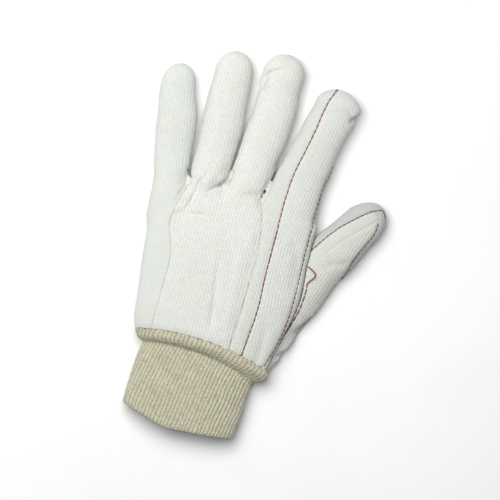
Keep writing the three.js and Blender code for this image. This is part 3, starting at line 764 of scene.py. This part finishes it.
def make_thumb(looks):
    points, faces = surface(thumb_field, (18, -16, -2), (126, 146, 24))
    x, y, z = points.T
    weave = thumb_weave(points)
    tongue, _ = line_distance(THUMB_TONGUE, x, y)
    grooves = [(tongue, 0.5 * ease(z - THUMB_SEAM_HEIGHT, -1, 1), 1.0)]
    points = detail(points, faces, grooves, ease(body_field(x, y, z), 0.5, 5))
    rows, faces = trimmed(np.column_stack([points, weave]), faces, clear_of_hand)
    rows, faces = trimmed(rows, faces, wrist_rule)
    rows, faces = cut_along(rows, faces, thumb_rule)
    back = side_of(rows, faces, thumb_rule)
    make_panel("thumb_back_panel", rows, faces[back], looks)
    make_panel("thumb_palm_panel", rows, faces[~back], looks)


def ring_quads(count, around, closed=False):
    """Quads between rings of points, each ring with the next one. closed joins the last to the first."""
    i = np.arange(around)
    j = (i + 1) % around
    pairs = [(r * around, (r + 1) % count * around) for r in range(count if closed else count - 1)]
    return np.vstack([np.stack([a + i, b + i, b + j, a + j], 1) for a, b in pairs])


def cuff_loop(step, inset):
    """A loop of points round the cuff, ribbed unless it is inset, and what they carry: place in ribs, along
    the cuff and inwards."""
    ring = cuff_ring(step)
    around = CUFF_RIBS * RIB_SAMPLES
    turn = np.arange(around) / around * 2 * math.pi
    share_x, share_z = (np.sign(v) * np.abs(v) ** (2 / CUFF_SQUARENESS) for v in (np.cos(turn), np.sin(turn)))
    edge = ring["height"] * CUFF_HEIGHT / 2
    across = (ring["width"] * CUFF_WIDTH / 2 - inset) * share_x
    up = edge + (np.where(share_z > 0, edge, edge + REST_DEPTH) - inset) * share_z
    outward = unit(np.stack([share_x, share_z], 1))
    line = np.stack([across, up], 1)
    walked = walked_along(np.vstack([line, line[:1]]))
    pitch, walked, flat = walked[-1] / CUFF_RIBS, walked[:-1], np.ones(around)
    wobble = 0.22 * noise_at(np.stack([walked / 7, step * 0.8 * flat, 0 * flat], 1))
    rib = walked / pitch + ring["run"] / pitch + wobble
    if inset == 0:
        ridge = np.abs(np.cos(rib * math.pi)) ** 0.8
        uneven = 0.5 * noise_at(np.stack([walked / 16, step * 0.9 * flat, 5 * flat], 1))
        groove = (1 - ridge) * RIB_DEPTH * ring["ribs"] + uneven
        across, up = (line - groove[:, None] * outward).T
    points = np.stack([ring["shift"] * CUFF_WIDTH + across, ring_y(ring, across), np.maximum(up, inset)], 1)
    return points, np.stack([rib, ring["along"] * CUFF_LENGTH * flat, inset * flat], 1)


def make_cuff(material):
    """The knit cuff: an outside with its ribs, a smooth inside, and a folded edge between them."""
    outside = [*np.arange(0, 4, 0.16), *np.arange(4, 9, 0.1), *np.linspace(9, 10, 9)]
    inside = [9.9, 9.5, *np.arange(9, 4, -0.5), 3.4, 3, 2, 1, 0.5, 0]
    loops = [cuff_loop(step, 0) for step in outside] + [cuff_loop(step, CUFF_KNIT) for step in inside]
    points, weave = (np.vstack(parts) for parts in zip(*loops))
    faces = ring_quads(len(loops), CUFF_RIBS * RIB_SAMPLES, closed=True)
    SKINS.append((points, faces))
    piece("cuff_knitting", points, faces, material, weave, replaces=("knit_cuff",))


# Threads

# Rows of stitches: name, thread, slot, pitch, half the thread's thickness, how much of the pitch a stitch
# fills, and the line in millimetres. Each row has a seed of its own, one after another.
FIRST_SEED = 11
STITCH_ROWS = (
    ("red_stitches_middle", "brick", "back_cloth", 4.3, 0.48, 0.97,
     ((52.2, 202.5), (48.7, 195.7), (45.1, 182.7), (43.8, 171.9), (40.9, 157.5), (38.1, 146.3),
      (35.8, 136.1), (34.7, 126.1), (34.1, 117.1), (33.6, 101.1), (34.2, 89.8), (33.9, 76.7), (33.5, 62.7),
      (33.9, 49), (34.4, 35.1), (33, 22.8), (32, 12.7), (30.9, 2.4), (30.6, -0.8))),
    ("red_stitches_edge", "brown", "back_cloth", 3.5, 0.38, 0.9,
     ((61.6, 148), (60.2, 138.2), (58.5, 128.9), (57.9, 121.5), (57.8, 109.4), (57.8, 96.6), (57.6, 81.7),
      (57.6, 69.7), (58, 51.9), (57.5, 37.9), (56.1, 23.6), (53.3, 11.1), (48.2, -4))),
    ("red_stitches_thumb_upper", "brown", "thumb_cloth", 3.6, 0.4, 0.97,
     ((60.9, 84.3), (63.6, 88.8), (68.4, 95.7), (74.1, 103.3), (79.8, 109), (85.7, 114.2), (92.3, 119.6),
      (97.4, 123.8), (101.6, 126), (104.1, 125.7))),
    ("red_stitches_thumb_lower", "brown", "thumb_cloth", 3.6, 0.42, 0.97,
     ((103.3, 116.2), (103.9, 113.1), (102.8, 108.1), (98.8, 99.1), (95.3, 92.5), (92, 85),
      (89.8, 78.4), (89, 73.8), (88.3, 70.6))),
    ("red_stitches_thumb_base", "red", "thumb_cloth", 5.2, 0.5, 1,
     ((64.5, 58.1), (65, 53.6), (63.8, 46.6), (63.6, 40.6), (61.5, 34.8), (59.8, 29.1), (57.5, 22.5))),
    ("tan_stitches_little", "tan", "back_cloth", 2.6, 0.2, 0.97,
     ((-36.5, 110), (-39.4, 100.5), (-42.6, 87.7), (-42.9, 81.1), (-40.6, 71.3), (-37.3, 63.3),
      (-35.9, 52.4), (-36.5, 40.9), (-36.8, 32), (-36.8, 20.7), (-37.4, 6.5))),
    ("blue_stitches_tip", "blue", "thumb_cloth", 2.8, 0.42, 0.97,
     ((104.4, 125.6), (106.6, 123.4), (107.4, 120.6))),
    ("thumb_seam_knot", "grey", "thumb_cloth", 1.8, 0.75, 0.97,
     ((89.6, 71.4), (88.6, 69.6))),
)
STITCH_WANDER = 0.1
STITCH_RISE = 0.3
STITCH_SHARES = np.array([0, 0.1, 0.25, 0.5, 0.75, 0.9, 1])
STITCH_SIDES = 8

# The loose thread: places in plan, and heights over the cloth
LOOSE_RADIUS = 0.45
LOOSE_THREAD = ((61.4, 73.6, 0.4), (63.2, 72.9, 1.2), (65.4, 71.8, 1.6), (67.4, 70.4, 1.8), (68.5, 68.6, 1.8),
                (67.8, 66.4, 1.6), (65.9, 64.2, 1.3), (64.4, 61.6, 0.8), (64.3, 58.6, 0.2))


def surface_tree():
    """The whole outside, without the gaps between its panels, to lay threads on."""
    starts = np.cumsum([0] + [len(points) for points, _ in SKINS])
    faces = sum(((rows + start).tolist() for (_, rows), start in zip(SKINS, starts)), [])
    return BVHTree.FromPolygons(np.vstack([points for points, _ in SKINS]).tolist(), faces)


def laid_on(tree, line):
    """The points of a line in plan, on the surface seen from above."""
    places = []
    for x, y in line:
        hit = tree.ray_cast((x, y, 100), (0, 0, -1))[0]
        places.append(tree.find_nearest((x, y, 7))[0] if hit is None else hit)
    return np.array(places)


def drawn_to(tree, path):
    """The places of the surface nearest to points, and its normals there."""
    found = [tree.find_nearest(p)[:2] for p in path.tolist()]
    return np.array([place for place, _ in found]), np.array([normal for _, normal in found])


def even_steps(line, step):
    """Points on a line at even steps."""
    walked = walked_along(line)
    at = np.linspace(0, walked[-1], max(2, int(round(walked[-1] / step)) + 1))
    return np.stack([np.interp(at, walked, column) for column in line.T], 1)


def tube(path, up, radii, flat=0.8):
    """Points and triangles of a closed tube. flat is its height as a share of its width."""
    ahead = unit(np.gradient(path, axis=0))
    side = unit(np.cross(ahead, up))
    upward = np.cross(side, ahead)
    turn = (np.arange(STITCH_SIDES) / STITCH_SIDES * 2 * math.pi)[None, :, None]
    around = side[:, None, :] * np.cos(turn) + upward[:, None, :] * np.sin(turn) * flat
    points = path[:, None, :] + around * np.array(radii)[:, None, None]
    k = np.arange(1, STITCH_SIDES - 1)
    fan = np.stack([0 * k, k + 1, k], 1)
    sides = triangles(ring_quads(len(path), STITCH_SIDES)[:, [0, 3, 2, 1]])
    return points.reshape(-1, 3), np.vstack([sides, fan, fan[:, [0, 2, 1]] + (len(path) - 1) * STITCH_SIDES])


def seam_path(tree, points):
    """A line in plan as a smooth path on the surface, down its steep sides too."""
    path = laid_on(tree, even_steps(smooth_line(points), 1.0))
    for _ in range(3):
        for _ in range(20):
            path[1:-1] += (path[:-2] + path[2:] - 2 * path[1:-1]) / 4
        path, _ = drawn_to(tree, path)
    return path


def stitch(tree, a, b, radius, rise, number):
    """One stitch between two places: it comes out of the cloth, runs over it and goes in again."""
    share = STITCH_SHARES
    path, normals = drawn_to(tree, a + (b - a) * share[:, None])
    arch = np.sin(share * math.pi)
    path = path + normals * (rise * arch**0.5 - 0.9 * radius * (1 - arch) ** 3)[:, None]
    points, faces = tube(path, normals, radius * (0.6 + 0.4 * arch**0.5))
    # arch is also carried for the thread's painted shade, darker at the stitch's ends
    return points, faces, np.repeat(np.stack([share, share * 0 + number, arch], 1), STITCH_SIDES, axis=0)


def stitch_row(tree, name, material, slot, pitch, radius, fill, points, seed):
    """Stitches along a line, with small differences in place and length."""
    random = np.random.default_rng(seed)
    line = even_steps(seam_path(tree, points), pitch)
    _, normals = drawn_to(tree, line)
    across = unit(np.cross(np.gradient(line, axis=0), normals))
    line = line + across * random.normal(0, STITCH_WANDER, len(line))[:, None]
    parts = []
    for number, (a, b) in enumerate(zip(line, line[1:])):
        inset = (b - a) * (1 - fill) / 2
        start = a + inset * random.uniform(0.6, 1.4)
        end = b - inset * random.uniform(0.6, 1.4)
        parts.append(stitch(tree, start, end, radius * random.uniform(0.92, 1.08), STITCH_RISE, number))
    sewn(name, parts, material)


def sewn(name, parts, material):
    """Several tubes as one piece. Each part is points, faces and a row of values for each point."""
    points, faces, values = zip(*parts)
    starts = np.cumsum([0] + [len(p) for p in points])
    faces = np.vstack([rows + start for rows, start in zip(faces, starts)])
    piece(name, np.vstack(points), faces, material, np.vstack(values))


def wrist_stitches(tree, looks):
    """Slanting stitches over the wrist seam, with a few dark ends of thread among them."""
    random = np.random.default_rng(21)
    pale, dark = [], []
    for number, x in enumerate(np.arange(-47, 49, 2.3)):
        x = x + random.normal(0, 0.3)
        y = float(wrist_y(x))
        upper = (x - 0.5, y + 1.1 + random.normal(0, 0.25))
        lower = (x + 0.7, y - 1.4 + random.normal(0, 0.25))
        pale.append(stitch(tree, *laid_on(tree, (upper, lower)), 0.3, 0.25, number))
        if number % 7 in (2, 5):
            y = y + random.uniform(-0.3, 0.3)
            ends = laid_on(tree, ((x + 0.2, y + 0.2), (x + 2.0, y - 0.3)))
            dark.append(stitch(tree, *ends, 0.26, 0.3, number))
    sewn("wrist_stitches", pale, looks["tan"])
    sewn("dark_thread_ends", dark, looks["grey"])


def loose_thread(tree, material):
    line = smooth_line(LOOSE_THREAD, 8)
    path = laid_on(tree, line[:, :2])
    path[:, 2] += line[:, 2]
    radii = np.full(len(path), LOOSE_RADIUS)
    radii[[0, -1]] *= 0.5
    points, faces = tube(path, np.tile([0, 0, 1.0], (len(path), 1)), radii, flat=1.0)
    weave = np.tile([0.5, 0.5, 1.0], (len(points), 1))
    piece("loose_red_thread", points, faces, material, weave)


def make_threads(looks):
    tree = surface_tree()
    for seed, (name, thread_name, *row) in enumerate(STITCH_ROWS, FIRST_SEED):
        stitch_row(tree, name, looks[thread_name], *row, seed)
    loose_thread(tree, looks["red"])
    wrist_stitches(tree, looks)


# Materials

# Cloths and threads by their use: the material's name, its light colour, and its darker colour for yarn tone
# and painted shade, as seen, from 0 to 255
CLOTHS = {
    "palm_panel": ("palm_cotton", (234, 236, 231), (184, 190, 182)),
    "back_panel_little": ("little_cotton", (232, 234, 229), (184, 190, 182)),
    "back_panel_centre": ("back_cotton", (237, 238, 233), (184, 190, 182)),
    "back_panel_index": ("index_cotton", (228, 229, 224), (174, 180, 173)),
    "index_wrap_panel": ("wrap_cotton", (234, 235, 230), (178, 184, 177)),
    "thumb_back_panel": ("thumb_cotton", (228, 229, 223), (176, 180, 171)),
    # The thumb's side panel is the same cotton made darker: painted shade where it turns down away from the
    # light
    "thumb_palm_panel": ("thumb_side_painted_shade_cotton", (206, 209, 206), (162, 167, 162)),
}
THREADS = {
    "red": ("red_thread", (152, 72, 68), (98, 48, 46)),
    "brick": ("brick_thread", (156, 76, 74), (86, 50, 50)),
    "brown": ("brown_red_thread", (122, 74, 72), (76, 50, 50)),
    "tan": ("tan_thread", (226, 222, 204), (192, 187, 164)),
    "blue": ("blue_thread", (92, 96, 140), (58, 58, 80)),
    "grey": ("dark_thread", (112, 116, 104), (72, 76, 70)),
}


def rgb(r, g, b):
    """A colour as it is seen, from 0 to 255, as the linear value that a shader takes."""
    linear = [c / 255 / 12.92 if c <= 10 else ((c / 255 + 0.055) / 1.055) ** 2.4 for c in (r, g, b)]
    return (*linear, 1.0)


class Value:
    """What a node puts out, which plain sums and products can take."""

    def __init__(self, nodes, socket):
        self.nodes = nodes
        self.socket = socket

    def __add__(self, other):
        return self.nodes.math("ADD", self, other)

    def __sub__(self, other):
        return self.nodes.math("SUBTRACT", self, other)

    def __mul__(self, other):
        return self.nodes.math("MULTIPLY", self, other)


class Nodes:
    """A material's node tree, with short calls to add and link nodes."""

    def __init__(self, name):
        self.material = bpy.data.materials.new(name)
        self.material.use_nodes = True
        self.tree = self.material.node_tree

    def link(self, value, socket):
        if isinstance(value, Value):
            self.tree.links.new(value.socket, socket)
        else:
            socket.default_value = value

    def add(self, kind, output=0, settings=None, **inputs):
        """A node. An input is named as in the node, with _ for a space, or i and its number."""
        node = self.tree.nodes.new("ShaderNode" + kind)
        for key, value in (settings or {}).items():
            setattr(node, key, value)
        for key, value in inputs.items():
            self.link(value, node.inputs[int(key[1:]) if key[1:].isdigit() else key.replace("_", " ")])
        return Value(self, node.outputs[output])

    def math(self, operation, a, b=0.0):
        return self.add("Math", 0, {"operation": operation}, i0=a, i1=b)

    def mix(self, share, a, b):
        return self.add("Mix", 2, {"data_type": "RGBA"}, i0=share, i6=a, i7=b)

    def cell(self, across, along):
        """A value of its own for each cell of a grid."""
        spot = self.add("CombineXYZ", X=self.math("FLOOR", across), Y=self.math("FLOOR", along))
        return self.add("TexWhiteNoise", 0, {"noise_dimensions": "2D"}, Vector=spot)

    def noise(self, vector, scale, detail=2.0, roughness=0.5):
        return self.add("TexNoise", Vector=vector, Scale=scale, Detail=detail, Roughness=roughness)

    def ramp(self, value, low, high):
        """A value stretched so that low becomes 0 and high 1, eased at both ends."""
        return self.add("MapRange", 0, {"interpolation_type": "SMOOTHSTEP"}, i0=value, i1=low, i2=high)

    def bump(self, height, distance, **normal):
        return self.add("Bump", Height=height, Distance=distance, **normal)

    def place(self):
        """Places in millimetres."""
        coordinate = self.add("TexCoord", "Object")
        return self.add("VectorMath", 0, {"operation": "SCALE"}, i0=coordinate, Scale=1 / MM)

    def weave(self):
        """What the mesh carries. On cloth: across and along its cords, and how much they show."""
        carried = self.add("Attribute", "Vector", {"attribute_name": "weave"})
        return [self.add("SeparateXYZ", i, Vector=carried) for i in range(3)]

    def finished(self, **sockets):
        """The material, with colour, normal and constants on the shader's own sockets."""
        shader = self.tree.nodes["Principled BSDF"]
        for key, value in sockets.items():
            self.link(value, shader.inputs[key.replace("_", " ")])
        return self.material


def corded_cloth(name, light, shade):
    """Napped cotton with cords along it, which show as much as the mesh says, and painted shade in the
    grooves between them.
    """
    n = Nodes(name)
    place = n.place()
    across, along, strength = n.weave()
    cords = (across + (n.noise(place, 0.09) - 0.5) * 1.2) * (1 / CORD_PITCH)
    turn = cords * (2 * math.pi)
    wave = n.math("COSINE", turn) * 0.5 + 0.5
    beat = n.math("SINE", along * (2 * math.pi / LOOP_PITCH) + turn * 0.5)
    slub = n.noise(n.add("CombineXYZ", X=across * 1.5, Y=along * 0.45), 1.0, 3.0, 0.6)
    patches = n.noise(place, 0.05, 3.0)
    nap = n.noise(place, 1.3, 4.0, 0.7)
    fibres = n.noise(place, 5.0, 3.0, 0.75)
    # Painted shade: the colour runs towards the shade colour in the grooves between the cords
    groove = n.math("SUBTRACT", 1.0, wave) * strength * n.ramp(nap, 0.25, 0.6)
    loops = (n.cell(cords, along * (1 / LOOP_PITCH)) * 0.12 - 0.24) * strength + 0.26
    tone = groove * 0.33 + n.ramp(slub, 0.4, 0.75) * 0.2 + n.ramp(nap, 0.5, 0.75) * 0.22
    tone = tone + n.ramp(fibres, 0.55, 0.8) * 0.2 + loops
    light = rgb(*light)
    cream = (light[0], light[1] * 0.985, light[2] * 0.945, 1.0)
    warm = n.mix(n.ramp(patches, 0.42, 0.68), light, cream)
    relief = (beat * 0.3 + wave) * strength + slub * 0.6 + nap * 1.1
    return n.finished(
        Base_Color=n.mix(tone, warm, rgb(*shade)),
        Normal=n.bump(relief, 0.00015, Normal=n.bump(fibres, 0.00014)),
        Roughness=0.96, Specular_IOR_Level=0.15, Sheen_Weight=0.12, Sheen_Roughness=0.6,
    )


def marl_knit(name):
    """Beige ribbed knit of mottled yarn, with a v in each stitch and painted shade in the grooves between the
    ribs.
    """
    n = Nodes(name)
    place = n.place()
    rib, along, _ = n.weave()
    within = n.math("ABSOLUTE", n.math("FRACT", rib) - 0.5)
    ridge = n.math("ABSOLUTE", n.math("COSINE", rib * math.pi))
    lean = (within * 1.5 + along) * (1 / KNIT_PITCH)
    stitches = n.math("SINE", lean * (2 * math.pi))
    yarn = n.noise(place, 1.1, 3.0, 0.6)
    fleck = n.noise(place, 3.4, 2.0, 0.7)
    patches = n.noise(place, 0.07, 3.0)
    mottle = n.cell(rib * 2.0, along * (1 / KNIT_PITCH / 0.7)) * 0.45 + n.cell(rib, lean) * 0.3
    mottle = mottle + n.ramp(yarn, 0.3, 0.7) * 0.4
    colour = n.mix(n.ramp(mottle, 0.15, 0.95), rgb(184, 180, 152), rgb(216, 213, 190))
    for share, tint in (
        (n.ramp(fleck, 0.6, 0.75) * 0.5, rgb(226, 221, 198)),
        (n.ramp(fleck, 0.44, 0.3) * 0.5, rgb(142, 134, 112)),
        (n.ramp(patches, 0.5, 0.72) * 0.35, rgb(203, 186, 168)),
        # Painted shade: darker in the grooves between the ribs, away from each ridge
        (n.ramp(ridge, 0.65, 0.05) * 0.65, rgb(120, 116, 92)),
    ):
        colour = n.mix(share, colour, tint)
    return n.finished(
        Base_Color=colour,
        Normal=n.bump(stitches * 0.35 + yarn * 0.6, 0.0003, Normal=n.bump(fleck, 0.00015)),
        Roughness=0.95, Specular_IOR_Level=0.15, Sheen_Weight=0.2, Sheen_Roughness=0.6,
    )


def thread(name, light, dark):
    """Spun sewing thread, with painted shade at each end of a stitch where it enters the cloth, and a little
    different in each stitch.
    """
    n = Nodes(name)
    place = n.place()
    _, number, arch = n.weave()
    vary = n.add("TexWhiteNoise", 0, {"noise_dimensions": "1D"}, W=number)
    twist = n.noise(place, 3.0, 2.0, 0.6)
    # Painted shade: each stitch darkens towards its ends, where it goes into the cloth
    tone = n.ramp(arch, 0.0, 0.7) * 0.35 + vary * 0.4 + n.ramp(twist, 0.35, 0.7) * 0.25
    return n.finished(
        Base_Color=n.mix(tone, rgb(*dark), rgb(*light)),
        Normal=n.bump(n.noise(place, 6.0, 2.0), 0.0001),
        Roughness=0.75, Sheen_Weight=0.2,
    )


def pale_floor(name):
    n = Nodes(name)
    tone = n.ramp(n.noise(n.place(), 0.01, 3.0), 0.3, 0.7)
    return n.finished(Base_Color=n.mix(tone, rgb(250, 250, 250), rgb(253, 253, 253)), Roughness=0.9)


def make_materials():
    made = {use: corded_cloth(*look) for use, look in CLOTHS.items()}
    made.update((use, thread(*look)) for use, look in THREADS.items())
    made["knit"] = marl_knit("beige_knit")
    return made


# Stage, in the frame's metres

CAMERA_SPOT = (0.00079, -0.00237)
CAMERA_ROLL = 14.0  # degrees
VIEW_WIDTH = 0.36
FLOOR_SIZE = 5.0
FLOOR_CLEARANCE = 0.0002


def make_stage():
    bpy.ops.mesh.primitive_plane_add(size=FLOOR_SIZE, location=(0, 0, -FLOOR_CLEARANCE))
    floor = bpy.context.object
    floor.name = "floor"
    floor.data.materials.append(pale_floor("pale_floor"))
    camera_data = bpy.data.cameras.new("camera")
    camera_data.type = "ORTHO"
    camera_data.ortho_scale = VIEW_WIDTH
    camera = new_object("camera", camera_data)
    camera.location = (*CAMERA_SPOT, 1.0)
    camera.rotation_euler = (0, 0, math.radians(CAMERA_ROLL))
    bpy.context.scene.camera = camera
    add_light("key", (-0.29, 0.27, 1.1), 1.0, 15.5)
    add_light("side", (-0.8, 0.5, 0.9), 0.8, 1.2)
    world = bpy.data.worlds.new("studio")
    world.use_nodes = True
    background = world.node_tree.nodes["Background"].inputs
    background["Color"].default_value = (0.95, 0.98, 1.0, 1)
    background["Strength"].default_value = 0.18
    bpy.context.scene.world = world
    bpy.context.scene.view_settings.view_transform = "Standard"


def add_light(name, place, size, power):
    """A square light that faces the middle of the frame."""
    data = bpy.data.lights.new(name, "AREA")
    data.size = size
    data.energy = power
    light = new_object(name, data)
    light.location = place
    light.rotation_euler = (-Vector(place)).to_track_quat("-Z", "Y").to_euler()


def main():
    looks = make_materials()
    make_stage()
    make_hand(looks)
    make_thumb(looks)
    make_cuff(looks["knit"])
    make_threads(looks)


main()
